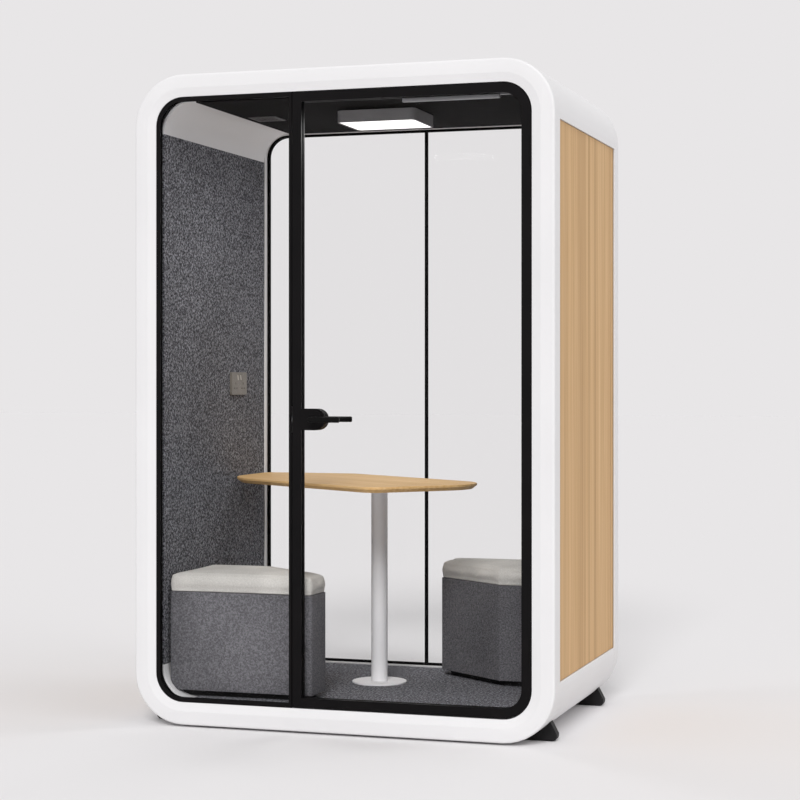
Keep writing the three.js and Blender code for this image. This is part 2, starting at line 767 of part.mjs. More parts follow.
// Latch bolt with its nose bevelled on the inner side
const boltPoints = [
  new THREE.Vector2(boltTip, doorMiddle - boltThickness / 2),
  new THREE.Vector2(boltTip + boltLength, doorMiddle - boltThickness / 2),
  new THREE.Vector2(boltTip + boltLength, doorMiddle + boltThickness / 2),
  new THREE.Vector2(boltTip + boltThrow, doorMiddle + boltThickness / 2),
  new THREE.Vector2(boltTip, doorMiddle),
];
addPart('latch_bolt', plate(boltPoints, leverHeight - boltHeight / 2, leverHeight + boltHeight / 2), steel);

// Closer: an upward channel on the door, a slider in it, and an arm on the spindle of a body over the liner
const railFront = doorRear + fitGap;
const railRear = railFront + closerRailDepth;
const railLow = doorHigh - doorMember - closerRailDrop;
const channelTop = railLow + closerChannelHeight;
const flangeTop = channelTop + closerFlangeHeight;
const railRight = hingeX - closerRailOffset;
const railLeft = railRight - closerRailLength;
addPart('closer_rail', rail([
  new THREE.Vector2(railFront, railLow),
  new THREE.Vector2(railRear, railLow),
  new THREE.Vector2(railRear, channelTop),
  new THREE.Vector2(railRear - closerRailWall, channelTop),
  new THREE.Vector2(railRear - closerRailWall, railLow + closerRailWall),
  new THREE.Vector2(railFront + closerRailWall, railLow + closerRailWall),
  new THREE.Vector2(railFront + closerRailWall, flangeTop),
  new THREE.Vector2(railFront, flangeTop),
], railLeft, railRight), silverAluminium);
const sliderMiddle = (railFront + railRear) / 2;
const sliderX = railLeft + sliderStart + sliderLength / 2;
const armLow = channelTop + closerArmLift;
addPart('closer_slider', join(
  block(sliderX - sliderLength / 2, sliderX + sliderLength / 2, railFront + closerRailWall + fitGap,
    railRear - closerRailWall - fitGap, railLow + closerRailWall + fitGap, channelTop - fitGap),
  post(sliderX, sliderMiddle, railLow + closerRailWall + overlap, armLow - fitGap, sliderPinRadius),
), blackPlastic);
const closerBodyLow = ceilingHeight + linerWall + fitGap;
const armVector = new THREE.Vector2(sliderX - closerSpindleX, sliderMiddle - closerSpindleDepth);
const armEnd = closerArmTipWidth / 2;
const armHalf = closerArmWidth / 2;
const armCorners = [
  { x: -armHalf, y: -armHalf, r: armHalf - fitGap },
  { x: armVector.length() + armEnd, y: -armEnd, r: armEnd - fitGap },
  { x: armVector.length() + armEnd, y: armEnd, r: armEnd - fitGap },
  { x: -armHalf, y: armHalf, r: armHalf - fitGap },
];
const armPoints = outline(armCorners, { arcSteps: smallSteps }).map((p) => (
  p.rotateAround(new THREE.Vector2(), armVector.angle())
    .add(new THREE.Vector2(closerSpindleX, closerSpindleDepth))
));
addPart('closer_arm', join(
  plate(armPoints, armLow, armLow + closerArmThickness),
  post(closerSpindleX, closerSpindleDepth, armLow + closerArmThickness / 2, closerBodyLow + closerBodyHeight / 2,
    closerSpindleRadius),
), silverAluminium);
const closerBody = block(closerSpindleX + closerBodyOverhang - closerBodyLength, closerSpindleX + closerBodyOverhang,
  closerSpindleDepth - closerBodyDepth / 2, closerSpindleDepth + closerBodyDepth / 2, closerBodyLow,
  closerBodyLow + closerBodyHeight);
addPart('closer_body', cut(closerBody, post(closerSpindleX, closerSpindleDepth, closerBodyLow - overlap,
  closerBodyLow + closerBodyHeight / 2 + fitGap, closerSpindleRadius + fitGap)), silverAluminium);

// Rear glazing: a grooved gasket, two panes and the strip that joins them
const gasketInset = rearRingWidth + fitGap;
const gasketInner = gasketInset + rearGasketFace;
const grooveBottom = gasketInner - rearGasketLip;
const gasketRear = podDepth - glazingSetback;
const gasketFront = gasketRear - rearGasketDepth;
const rearGlassFront = (gasketFront + gasketRear - rearGlassThickness) / 2;
const rearGlassRear = rearGlassFront + rearGlassThickness;
addPart('rear_gasket', ring(shellCorners, [
  [gasketInset, gasketRear],
  [gasketInset, gasketFront],
  [gasketInner, gasketFront],
  [gasketInner, rearGlassFront - fitGap],
  [grooveBottom, rearGlassFront - fitGap],
  [grooveBottom, rearGlassRear + fitGap],
  [gasketInner, rearGlassRear + fitGap],
  [gasketInner, gasketRear],
]), blackRubber);
const rearGlassInset = grooveBottom + fitGap;
const rearEdge = halfWidth - rearGlassInset;
const rearSeam = rearStripWeb / 2 + fitGap;
const rearLow = shellLift + rearGlassInset;
const rearHigh = podHeight - rearGlassInset;
const rearRadius = cornerRadius - rearGlassInset;
Object.entries(sides).forEach(([name, side]) => {
  const points = outline(rectangle(rearSeam, rearEdge, rearLow, rearHigh, [0, rearRadius, rearRadius, 0]));
  const placed = points.map((p) => new THREE.Vector2(side * p.x, p.y));
  addPart(`rear_glass_${name}`, sheet(placed, rearGlassFront, rearGlassRear), clearGlass);
});
const stripHalf = rearStripWidth / 2;
const webHalf = rearStripWeb / 2;
const stripQuarter = [
  [stripHalf, gasketFront],
  [stripHalf, rearGlassFront - fitGap],
  [webHalf, rearGlassFront - fitGap],
  [webHalf, rearGlassRear + fitGap],
  [stripHalf, rearGlassRear + fitGap],
  [stripHalf, gasketRear],
];
const stripPoints = [
  ...stripQuarter.map(([x, depth]) => new THREE.Vector2(x, depth)),
  ...stripQuarter.map(([x, depth]) => new THREE.Vector2(-x, depth)).reverse(),
];
addPart('rear_joint_strip', plate(stripPoints, shellLift + gasketInner + fitGap, podHeight - gasketInner - fitGap),
  blackRubber);

// Ceiling light: a tray with its mouth down and a diffuser in the mouth
const lightDepth = podDepth / 2;
const lightTop = ceilingFace - fitGap;
const lightLow = lightTop - lightDrop;
const lightCorners = rectangle(-lightLength / 2, lightLength / 2, lightDepth - lightWidth / 2,
  lightDepth + lightWidth / 2, evenly(lightCorner));
const lightLoop = (inset, height) => outline(lightCorners, { inset, arcSteps: smallSteps }).map((p) => (
  new THREE.Vector3(p.x, front + p.y, height)
));
addPart('light_housing', skin([
  lightLoop(lightWall, lightTop - lightWall),
  lightLoop(lightWall, lightLow),
  lightLoop(0, lightLow),
  lightLoop(0, lightTop),
], true), greyHousing);
const diffuserLow = lightLow + diffuserRecess;
addPart('light_diffuser', skin([
  lightLoop(lightWall + fitGap, diffuserLow),
  lightLoop(lightWall + fitGap, diffuserLow + diffuserThickness),
], true), opalDiffuser);

// Vent: a grille of diamond openings under the duct, and the fan that stands on the liner above it
const grilleTop = ceilingFace - fitGap;
const grilleX = -ventOffset;
const cellX = (grilleWidth - 2 * grilleBorder) / (2 * grilleColumns);
const cellY = (grilleDepth - 2 * grilleBorder) / (2 * grilleRows) * 2;
const diamonds = [];
for (let column = 1; column < 2 * grilleColumns; column += 1) {
  for (let row = 1; row < grilleRows; row += 1) {
    if ((column + row) % 2 === 0) {
      const x = grilleX - grilleWidth / 2 + grilleBorder + column * cellX;
      const y = ventDepth - grilleDepth / 2 + grilleBorder + row * cellY;
      const reachX = cellX - grilleBar / 2;
      const reachY = cellY - grilleBar / 2;
      diamonds.push([
        new THREE.Vector2(x - reachX, y),
        new THREE.Vector2(x, y + reachY),
        new THREE.Vector2(x + reachX, y),
        new THREE.Vector2(x, y - reachY),
      ]);
    }
  }
}
const grilleCorners = rectangle(grilleX - grilleWidth / 2, grilleX + grilleWidth / 2, ventDepth - grilleDepth / 2,
  ventDepth + grilleDepth / 2, evenly(grilleBorder / 2));
addPart('vent_grille', plate(outline(grilleCorners, { arcSteps: smallSteps }), grilleTop - grilleThickness, grilleTop,
  diamonds), blackPlastic);

const fanLow = ceilingHeight + linerWall + fitGap;
const fanHigh = fanLow + fanDepth;
const spiderLow = fanHigh - fanSpiderThickness;
const fanBox = block(grilleX - fanSize / 2, grilleX + fanSize / 2, ventDepth - fanSize / 2, ventDepth + fanSize / 2,
  fanLow, fanHigh);
const fanBore = post(grilleX, ventDepth, fanLow - overlap, fanHigh + overlap, fanBoreRadius);
const spiderReach = fanSize / 2 - overlap;
const hubHigh = spiderLow - runningGap;
const hubLow = hubHigh - fanHubHeight;
const axleLow = hubLow + fanHubHeight / 2;
addPart('fan_housing', join(
  cut(fanBox, fanBore),
  block(grilleX - spiderReach, grilleX + spiderReach, ventDepth - fanSpiderWidth / 2,
    ventDepth + fanSpiderWidth / 2, spiderLow, fanHigh),
  block(grilleX - fanSpiderWidth / 2, grilleX + fanSpiderWidth / 2, ventDepth - spiderReach,
    ventDepth + spiderReach, spiderLow, fanHigh),
  post(grilleX, ventDepth, spiderLow, fanHigh, fanHubRadius),
  post(grilleX, ventDepth, axleLow, spiderLow + overlap, fanAxleRadius),
), blackPlastic);
const bladeRoot = fanHubRadius - 2 * overlap;
const bladeTip = fanBoreRadius - fanTipGap;
const blades = Array.from({ length: fanBladeCount }, (_, i) => {
  const geometry = new THREE.BoxGeometry(bladeTip - bladeRoot, fanBladeChord, fanBladeThickness);
  geometry.translate((bladeTip + bladeRoot) / 2, 0, 0);
  geometry.rotateX(THREE.MathUtils.degToRad(fanBladePitch));
  geometry.rotateZ((2 * Math.PI * i) / fanBladeCount);
  geometry.translate(grilleX, front + ventDepth, (hubLow + hubHigh) / 2);
  return geometry;
});
addPart('fan_rotor', cut(
  join(post(grilleX, ventDepth, hubLow, hubHigh, fanHubRadius), ...blades),
  post(grilleX, ventDepth, axleLow - runningGap, hubHigh + overlap, fanAxleRadius + fitGap),
), blackPlastic);

// Twin socket on the left felt: a plate with two rocker openings and six pin slots
const socketBack = -linerX + fitGap;
const socketFace = socketBack + socketThickness;
const socketCorners = rectangle(socketDepth - socketWidth / 2, socketDepth + socketWidth / 2,
  socketCentre - socketHeight / 2, socketCentre + socketHeight / 2, evenly(socketCorner));
const slot = (depth, z, width, height) => block(socketBack - overlap, socketFace + overlap, depth - width / 2,
  depth + width / 2, z - height / 2, z + height / 2);
const socketHoles = [-1, 1].flatMap((way) => {
  const centre = socketDepth + (way * outletSpacing) / 2;
  const low = socketCentre - pinSlotDrop;
  return [
    slot(socketDepth + way * rockerOffset, socketCentre + rockerRise, rockerWidth + 2 * rockerGap,
      rockerHeight + 2 * rockerGap),
    slot(centre, socketCentre, pinSlotShort, pinSlotLong),
    slot(centre - pinSlotSpread, low, pinSlotLong, pinSlotShort),
    slot(centre + pinSlotSpread, low, pinSlotLong, pinSlotShort),
  ];
});
const socketBlank = rail(outline(socketCorners, { arcSteps: smallSteps }), socketBack, socketFace);
addPart('socket_plate', cut(socketBlank, ...socketHoles), warmGreyPlastic);
Object.entries({ front: -1, rear: 1 }).forEach(([name, way]) => {
  const geometry = new THREE.BoxGeometry(rockerThickness, rockerWidth, rockerHeight);
  geometry.rotateY(THREE.MathUtils.degToRad(-rockerTilt));
  geometry.translate(socketFace - rockerThickness / 2 + rockerGap / 2, front + socketDepth + way * rockerOffset,
    socketCentre + rockerRise);
  addPart(`${name}_rocker`, geometry, warmGreyPlastic);
});

// Table: a top with an undercut edge on a plate, a round column and a floor disc
const tableWall = -linerX + tableWallGap;
const tableCorners = [
  { x: tableWall, y: tableWallEnd, r: tableWallCorner },
  { x: tableNose.x, y: tableNose.depth, r: tableNoseCorner },
  { x: tableEnd.x, y: tableEnd.depth, r: tableEndCorner },
  { x: tableRearEnd, y: tableRear, r: tableNoseCorner },
  { x: tableWall, y: tableRear, r: tableRearCorner },
];
const tableLoop = (inset, height) => outline(tableCorners, { inset, arcSteps: 2 * smallSteps }).map((p) => (
  new THREE.Vector3(p.x, front + p.y, height)
));
const tableUnder = tableHeight - tableThickness;
addPart('table_top', skin([
  tableLoop(tableUndercut, tableUnder),
  tableLoop(0, tableHeight - tableEdgeBand),
  tableLoop(0, tableHeight - tableArris),
  tableLoop(tableArris, tableHeight),
], true), oak);
const tablePlateTop = tableUnder - fitGap;
const tablePlateLow = tablePlateTop - tablePlateThickness;
const tableBaseLow = carpetTop + fitGap;
const tableBaseTop = tableBaseLow + tableBaseThickness;
addPart('table_plate', block(tableColumnX - tablePlateSize / 2, tableColumnX + tablePlateSize / 2,
  tableColumnDepth - tablePlateSize / 2, tableColumnDepth + tablePlateSize / 2, tablePlateLow, tablePlateTop),
whitePaint);
addPart('table_column', post(tableColumnX, tableColumnDepth, tableBaseTop + fitGap, tablePlateLow - fitGap,
  tableColumnRadius), whitePaint);
addPart('table_base', post(tableColumnX, tableColumnDepth, tableBaseLow, tableBaseTop, tableBaseRadius), whitePaint);

// Benches: a recessed plinth, an upholstered body and a cushion with a crowned top and drawn-in seams.
// The right bench is the left one turned half round about the middle of the cabin.
const benchCorners = (side) => [
  [benchLeft, benchFront],
  [benchRight, benchFront],
  [benchRight, benchSplayDepth],
  [benchSplayX, benchRear],
  [benchLeft, benchRear],
].map(([x, depth]) => ({
  x: -side * x,
  y: side < 0 ? depth : podDepth - depth,
  r: benchCorner,
}));

const cushion = (corners, low) => {
  const seam = low + cushionThickness - cushionShoulder;
  const steps = { arcSteps: smallSteps, edgeSteps: cushionEdgeSteps };
  const loop = (inset, sag, height) => outline(corners, { inset, sag, ...steps })
    .map((p) => new THREE.Vector3(p.x, front + p.y, height));
  const barrel = Array.from({ length: cushionSideRows + 1 }, (_, i) => {
    const bulge = Math.sin((Math.PI * i) / cushionSideRows);
    const inset = cushionPinch - (cushionPinch + cushionBelly) * bulge;
    return loop(inset, cushionPinch * (1 - bulge), low + ((seam - low) * i) / cushionSideRows);
  });
  const shoulder = Array.from({ length: cushionShoulderRows }, (_, i) => {
    const angle = ((i + 1) / cushionShoulderRows) * (Math.PI / 2);
    const inset = cushionPinch + cushionShoulder * (1 - Math.cos(angle));
    return loop(inset, cushionPinch, seam + cushionShoulder * Math.sin(angle));
  });
  const rim = shoulder[cushionShoulderRows - 1];
  const middle = new THREE.Box3().setFromPoints(rim).getCenter(new THREE.Vector3());
  const crown = Array.from({ length: cushionCrownRows }, (_, i) => {
    const share = (i + 1) / (cushionCrownRows + 1);
    const rise = cushionCrown * Math.sin((Math.PI / 2) * share);
    return rim.map((p) => p.clone().lerp(middle, share).setZ(low + cushionThickness + rise));
  });
  return skin([...barrel, ...shoulder, ...crown], true);
};

// The wall side of each bench is scribed to the cove
const scribe = linerWall + coveRadius;
const coveTool = () => sheet(arch(linerX + scribe, panelBottom, floorHeight - scribe, coveRadius + scribe,
  scribe + fitGap), linerFront, linerRear);
Object.entries(sides).forEach(([name, side]) => {
  const corners = benchCorners(side);
  const plinthLow = carpetTop + fitGap;
  const plinthTop = plinthLow + benchPlinthHeight;
  const plinthCorners = corners.map((corner) => ({ ...corner, r: benchCorner + benchPlinthInset }));
  const plinthOutline = outline(plinthCorners, { inset: benchPlinthInset, arcSteps: smallSteps });
  const plinth = plate(plinthOutline, plinthLow, plinthTop);
  addPart(`${name}_bench_plinth`, cut(plinth, coveTool()), blackPlastic);
  const body = plate(outline(corners, { arcSteps: smallSteps }), plinthTop + fitGap, benchBodyTop);
  addPart(`${name}_bench_body`, cut(body, coveTool()), greyFabric);
  addPart(`${name}_bench_cushion`, cushion(corners, benchBodyTop + fitGap), lightFabric);
});

export default pod;
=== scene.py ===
import json
import math

import bmesh
import bpy
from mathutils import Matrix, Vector


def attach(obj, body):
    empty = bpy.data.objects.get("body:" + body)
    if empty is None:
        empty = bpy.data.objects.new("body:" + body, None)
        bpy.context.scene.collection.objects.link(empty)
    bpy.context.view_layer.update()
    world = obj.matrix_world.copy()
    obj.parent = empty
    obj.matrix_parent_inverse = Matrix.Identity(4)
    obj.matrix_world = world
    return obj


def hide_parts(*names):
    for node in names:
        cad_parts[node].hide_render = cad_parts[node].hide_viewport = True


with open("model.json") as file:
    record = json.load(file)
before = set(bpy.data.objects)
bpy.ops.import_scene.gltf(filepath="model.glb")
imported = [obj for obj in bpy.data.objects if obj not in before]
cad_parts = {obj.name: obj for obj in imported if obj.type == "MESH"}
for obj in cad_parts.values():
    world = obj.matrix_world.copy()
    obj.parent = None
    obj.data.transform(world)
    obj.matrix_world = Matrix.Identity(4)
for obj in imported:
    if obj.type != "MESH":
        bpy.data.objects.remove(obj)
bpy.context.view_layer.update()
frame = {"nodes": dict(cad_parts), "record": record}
nodes = frame["nodes"]
bodies = frame["record"]["behaviour"]["bodies"]
bodyOf = {node: body for body, members in bodies.items() for node in members}
slotOf = {part["node"]: part["material_slot"] for part in frame["record"]["subparts"]}
print("frame loaded:", len(nodes), "nodes")


def linearColor(hexText):  # sRGB hex to linear light
    values = [int(hexText[i:i + 2], 16) / 255 for i in (1, 3, 5)]
    return [v / 12.92 if v <= 0.04045 else ((v + 0.055) / 1.055) ** 2.4 for v in values] + [1.0]


def perMetre(millimetres):  # pattern scale for one feature every so many millimetres
    return 1000 / millimetres


def addNode(tree, kind, settings=None, links=None):
    node = tree.nodes.new("ShaderNode" + kind)
    for key, value in (settings or {}).items():
        if isinstance(key, int) or key in node.inputs:
            node.inputs[key].default_value = value
        else:
            setattr(node, key, value)
    for key, source in (links or {}).items():
        tree.links.new(node.inputs[key], source)
    return node


def setStops(ramp, stops):
    elements = ramp.color_ramp.elements
    while len(elements) < len(stops):
        elements.new(0.5)
    for element, (place, hexText) in zip(elements, stops):
        element.position = place
        element.color = linearColor(hexText)


def startMaterial(name, settings):
    material = bpy.data.materials.new(name)
    material.use_nodes = True
    tree = material.node_tree
    shader = tree.nodes["Principled BSDF"]
    for key, value in settings.items():
        shader.inputs[key].default_value = value
    place = addNode(tree, "TexCoord").outputs["Object"]
    return material, tree, shader, place


def addBump(tree, shader, height, strength, millimetres):
    settings = {"Strength": strength, "Distance": millimetres / 1000}
    bump = addNode(tree, "Bump", settings, {"Height": height})
    tree.links.new(shader.inputs["Normal"], bump.outputs["Normal"])


# Sprayed and baked paint, and moulded or extruded plastic: one even colour with a faint pebbled skin,
# which breaks up highlights. The pebbles are drawn at 2 to 4 mm, coarser than real ones, so that they show.
pebble = {"strength": 0.12, "heightMm": 0.15}


def satinSkin(name, coat):
    settings = {"Roughness": coat["roughness"], "Specular IOR Level": coat["gloss"]}
    material, tree, shader, place = startMaterial(name, settings)
    cloud = addNode(tree, "TexNoise", {"Scale": perMetre(coat["cloudMm"]), "Detail": 2.0}, {"Vector": place})
    ramp = addNode(tree, "ValToRGB", None, {"Fac": cloud.outputs[0]})
    setStops(ramp, [(0.3, coat["dark"]), (0.7, coat["light"])])
    tree.links.new(shader.inputs["Base Color"], ramp.outputs["Color"])
    peel = addNode(tree, "TexNoise", {"Scale": perMetre(coat["peelMm"]), "Detail": 1.0}, {"Vector": place})
    addBump(tree, shader, peel.outputs[0], pebble["strength"], pebble["heightMm"])
    return material


# Oak veneer laid in strips and oiled: every strip has its own tone, with long pale grain along it.
# Real grain is about 2 mm wide and is drawn at 12 to 16 mm, so that it shows.
pore = {"strength": 0.15, "heightMm": 0.3}


def oakVeneer(name, oak):
    material, tree, shader, place = startMaterial(name, {"Roughness": 0.55, "Specular IOR Level": 0.25})
    turn = (0.0, 0.0, math.radians(oak["turn"]))
    lay = addNode(tree, "Mapping", {"Rotation": turn}, {"Vector": place})
    parts = addNode(tree, "SeparateXYZ", None, {"Vector": lay.outputs["Vector"]})
    across = parts.outputs[oak["across"]]
    strips = addNode(tree, "Math", {"operation": "MULTIPLY", 1: perMetre(oak["stripMm"])}, {0: across})
    whole = addNode(tree, "Math", {"operation": "FLOOR"}, {0: strips.outputs[0]})
    tone = addNode(tree, "TexWhiteNoise", {"noise_dimensions": "1D"}, {"W": whole.outputs[0]})
    stretch = [perMetre(oak["grainMm"])] * 3
    stretch["XYZ".index(oak["along"])] = perMetre(oak["grainMm"] * oak["grainRatio"])
    fibre = addNode(tree, "Mapping", {"Scale": stretch}, {"Vector": lay.outputs["Vector"]})
    shift = addNode(tree, "VectorMath", {"operation": "ADD"},
                    {0: fibre.outputs["Vector"], 1: tone.outputs["Color"]})
    grain = addNode(tree, "TexNoise", {"Scale": 1.0, "Detail": 5.0, "Roughness": 0.6, "Distortion": 0.4},
                    {"Vector": shift.outputs["Vector"]})
    ramp = addNode(tree, "ValToRGB", None, {"Fac": grain.outputs[0]})
    setStops(ramp, oak["grain"])
    tint = addNode(tree, "ValToRGB", None, {"Fac": tone.outputs["Value"]})
    setStops(tint, oak["strips"])
    blend = addNode(tree, "Mix", {"data_type": "RGBA", "blend_type": "MULTIPLY", 0: 1.0},
                    {6: ramp.outputs["Color"], 7: tint.outputs["Color"]})
    edge = addNode(tree, "Math", {"operation": "FRACT"}, {0: strips.outputs[0]})
    seam = addNode(tree, "Math", {"operation": "LESS_THAN", 1: oak["seamMm"] / oak["stripMm"]},
                   {0: edge.outputs[0]})
    shade = addNode(tree, "Mix", {"data_type": "RGBA", 7: linearColor(oak["seam"])},
                    {0: seam.outputs[0], 6: blend.outputs[2]})
    tree.links.new(shader.inputs["Base Color"], shade.outputs[2])
    addBump(tree, shader, grain.outputs[0], pore["strength"], pore["heightMm"])
    return material


# Needled felt, woven wool and loop pile: light and dark fibres mixed, a speckle on a soft surface with no
# highlight. The specks are drawn at 4 to 9 mm, several times a real tuft or thread, so that they show.
def fibreMix(name, cloth):
    settings = {"Roughness": 0.95, "Specular IOR Level": 0.1, "Sheen Weight": cloth["sheen"],
                "Sheen Roughness": 0.5}
    material, tree, shader, place = startMaterial(name, settings)
    speck = addNode(tree, "TexNoise", {"Scale": perMetre(cloth["speckMm"]), "Detail": 4.0, "Roughness": 0.8},
                    {"Vector": place})
    ramp = addNode(tree, "ValToRGB", None, {"Fac": speck.outputs[0]})
    setStops(ramp, cloth["fibres"])
    drift = addNode(tree, "TexNoise", {"Scale": perMetre(cloth["driftMm"]), "Detail": 2.0}, {"Vector": place})
    fade = addNode(tree, "ValToRGB", None, {"Fac": drift.outputs[0]})
    setStops(fade, [(0.3, "#e2e2e2"), (0.7, "#ffffff")])
    blend = addNode(tree, "Mix", {"data_type": "RGBA", "blend_type": "MULTIPLY", 0: 1.0},
                    {6: ramp.outputs["Color"], 7: fade.outputs["Color"]})
    tree.links.new(shader.inputs["Base Color"], blend.outputs[2])
    nap = addNode(tree, "TexNoise", {"Scale": perMetre(cloth["napMm"]), "Detail": 2.0}, {"Vector": place})
    addBump(tree, shader, nap.outputs[0], cloth["bump"], cloth["heightMm"])
    return material


# Anodised or brushed metal: fine lines drawn along the bar, so wide, soft highlights
scratch = {"strength": 0.1, "heightMm": 0.1}


def brushedMetal(name, metal):
    material, tree, shader, place = startMaterial(name, {"Metallic": 1.0, "Roughness": metal["roughness"]})
    fine = perMetre(metal["lineMm"])
    lay = addNode(tree, "Mapping", {"Scale": (perMetre(metal["runMm"]), fine, fine)}, {"Vector": place})
    lines = addNode(tree, "TexNoise", {"Scale": 1.0, "Detail": 3.0}, {"Vector": lay.outputs["Vector"]})
    ramp = addNode(tree, "ValToRGB", None, {"Fac": lines.outputs[0]})
    setStops(ramp, [(0.3, metal["dark"]), (0.7, metal["light"])])
    tree.links.new(shader.inputs["Base Color"], ramp.outputs["Color"])
    addBump(tree, shader, lines.outputs[0], scratch["strength"], scratch["heightMm"])
    return material


# Float glass: polished and nearly colourless, so it shows by its edges and a breath of dark green
def floatGlass(name, glass):
    settings = {"Roughness": 0.02, "IOR": 1.5, "Alpha": glass["alpha"],
                "Base Color": linearColor(glass["tint"])}
    return startMaterial(name, settings)[0]


# Opal acrylic, cast with a white filler: it hides the lamp behind it and glows evenly
def opalAcrylic(name, opal):
    settings = {
        "Roughness": 0.5,
        "Base Color": linearColor(opal["color"]),
        "Emission Color": linearColor(opal["color"]),
        "Emission Strength": opal["glow"],
    }
    return startMaterial(name, settings)[0]


finish = {
    "white_paint": satinSkin("white powder-coated steel", {  # clean white, soft highlights
        "roughness": 0.5, "gloss": 0.3, "cloudMm": 400, "peelMm": 4, "dark": "#e0dfe0", "light": "#e3e2e3"}),
    # The stand's white is the shell paint made brighter: painted light in place of the light the roof keeps
    # out of the cabin
    "stand_paint_lit": satinSkin("white powder-coated steel painted brighter as light", {  # a cooler white, painted brighter than the shell's as painted light for the dim cabin
        "roughness": 0.5, "gloss": 0.3, "cloudMm": 300, "peelMm": 4, "dark": "#f3f2f4", "light": "#f6f5f7"}),
    "black_frame": satinSkin("black powder-coated aluminium", {  # flat black with hardly a shine
        "roughness": 0.5, "gloss": 0.08, "cloudMm": 120, "peelMm": 3, "dark": "#0b0a0b", "light": "#100e0f"}),
    "lever_black": satinSkin("satin black anodised aluminium", {  # deeper black than the frame
        "roughness": 0.3, "gloss": 0.12, "cloudMm": 60, "peelMm": 3, "dark": "#040404", "light": "#070606"}),
    "black_plastic": satinSkin("black moulded ABS", {  # black with a dull sheen
        "roughness": 0.6, "gloss": 0.25, "cloudMm": 60, "peelMm": 2, "dark": "#131213", "light": "#191819"}),
    "black_rubber": satinSkin("black extruded EPDM rubber", {  # matt black line round the glass
        "roughness": 0.75, "gloss": 0.06, "cloudMm": 80, "peelMm": 2, "dark": "#0b0a0b", "light": "#100f10"}),
    "grey_housing": satinSkin("grey powder-coated lamp tray", {  # mid grey, dimmed by the glow below
        "roughness": 0.55, "gloss": 0.3, "cloudMm": 90, "peelMm": 3, "dark": "#8b898a", "light": "#939192"}),
    "warm_grey": satinSkin("warm grey moulded polycarbonate", {  # smooth, slightly glossy
        "roughness": 0.4, "gloss": 0.4, "cloudMm": 50, "peelMm": 3, "dark": "#6c675f", "light": "#756f67"}),
    "pale_rocker": satinSkin("light grey moulded polycarbonate", {  # lighter than its plate
        "roughness": 0.35, "gloss": 0.4, "cloudMm": 50, "peelMm": 3, "dark": "#a09b92", "light": "#a9a49b"}),
    "vent_grey": satinSkin("grey moulded ABS", {  # bars that stand out from the dark ceiling
        "roughness": 0.55, "gloss": 0.25, "cloudMm": 60, "peelMm": 2, "dark": "#575556", "light": "#615f60"}),
    "dark_felt": fibreMix("dark needled wool felt", {  # charcoal with pale flecks
        "sheen": 0.1, "speckMm": 8, "driftMm": 500, "napMm": 6, "bump": 0.5, "heightMm": 1.5,
        "fibres": [(0.42, "#1f1f23"), (0.5, "#505056"), (0.6, "#9c9ca3")]}),
    "acoustic_wool": fibreMix("pressed acoustic wool board", {  # dull grey, even
        "sheen": 0.0, "speckMm": 9, "driftMm": 300, "napMm": 5, "bump": 0.4, "heightMm": 1.5,
        "fibres": [(0.35, "#55544f"), (0.5, "#6f6e6c"), (0.65, "#8a8985")]}),
    "seat_fabric": fibreMix("pale grey woven wool", {  # plain and pale, with a low weave
        "sheen": 0.1, "speckMm": 4, "driftMm": 200, "napMm": 3, "bump": 0.25, "heightMm": 0.5,
        "fibres": [(0.38, "#c8c5c0"), (0.5, "#d3d0cb"), (0.62, "#dddad5")]}),
    "bench_fabric": fibreMix("mid grey melange wool", {  # a quiet mix of two greys
        "sheen": 0.05, "speckMm": 6, "driftMm": 250, "napMm": 4, "bump": 0.3, "heightMm": 0.8,
        "fibres": [(0.4, "#575659"), (0.5, "#69686c"), (0.6, "#7e7c81")]}),
    "dark_panel": fibreMix("dark acoustic ceiling board", {  # nearly black, matt
        "sheen": 0.0, "speckMm": 8, "driftMm": 300, "napMm": 5, "bump": 0.3, "heightMm": 0.8,
        "fibres": [(0.4, "#090708"), (0.5, "#0e0c0d"), (0.6, "#1a1718")]}),
    "carpet": fibreMix("dark speckled loop pile", {  # like the felt, with a deeper nap
        "sheen": 0.1, "speckMm": 8, "driftMm": 500, "napMm": 6, "bump": 0.8, "heightMm": 3,
        "fibres": [(0.42, "#26262b"), (0.5, "#5b5b62"), (0.6, "#a9a9b1")]}),
    "silver": brushedMetal("natural anodised aluminium", {  # soft grey shine
        "roughness": 0.4, "lineMm": 1.2, "runMm": 80, "dark": "#8a8a8c", "light": "#9c9c9e"}),
    "steel": brushedMetal("brushed steel", {  # brighter lines than the aluminium
        "roughness": 0.35, "lineMm": 1.0, "runMm": 80, "dark": "#8f8f92", "light": "#a8a8aa"}),
    "clear_glass": floatGlass("clear float glass", {"alpha": 0.015, "tint": "#0b0f0d"}),
    "opal": opalAcrylic("opal acrylic", {"color": "#ffffff", "glow": 1.0}),
}
sideOak = oakVeneer("oak veneer in upright strips", {  # warm upright bands
    "turn": 0, "across": "Y", "along": "Z", "stripMm": 34, "seamMm": 1.0, "grainMm": 16, "grainRatio": 60,
    "grain": [(0.3, "#c29b66"), (0.5, "#d0aa79"), (0.7, "#dbb88a")],
    "strips": [(0.0, "#e9e4dd"), (0.5, "#f5f2ee"), (1.0, "#ffffff")], "seam": "#c8a16f"})
tableOak = oakVeneer("oak veneer on the table", {  # wide leaves along the table's length
    "turn": 36.6, "across": "Y", "along": "X", "stripMm": 160, "seamMm": 0.6, "grainMm": 12, "grainRatio": 30,
    "grain": [(0.3, "#d3a86d"), (0.5, "#e2bc85"), (0.7, "#ecca98")],
    "strips": [(0.0, "#f0ebe5"), (0.5, "#f8f5f1"), (1.0, "#ffffff")], "seam": "#cfa56b"})
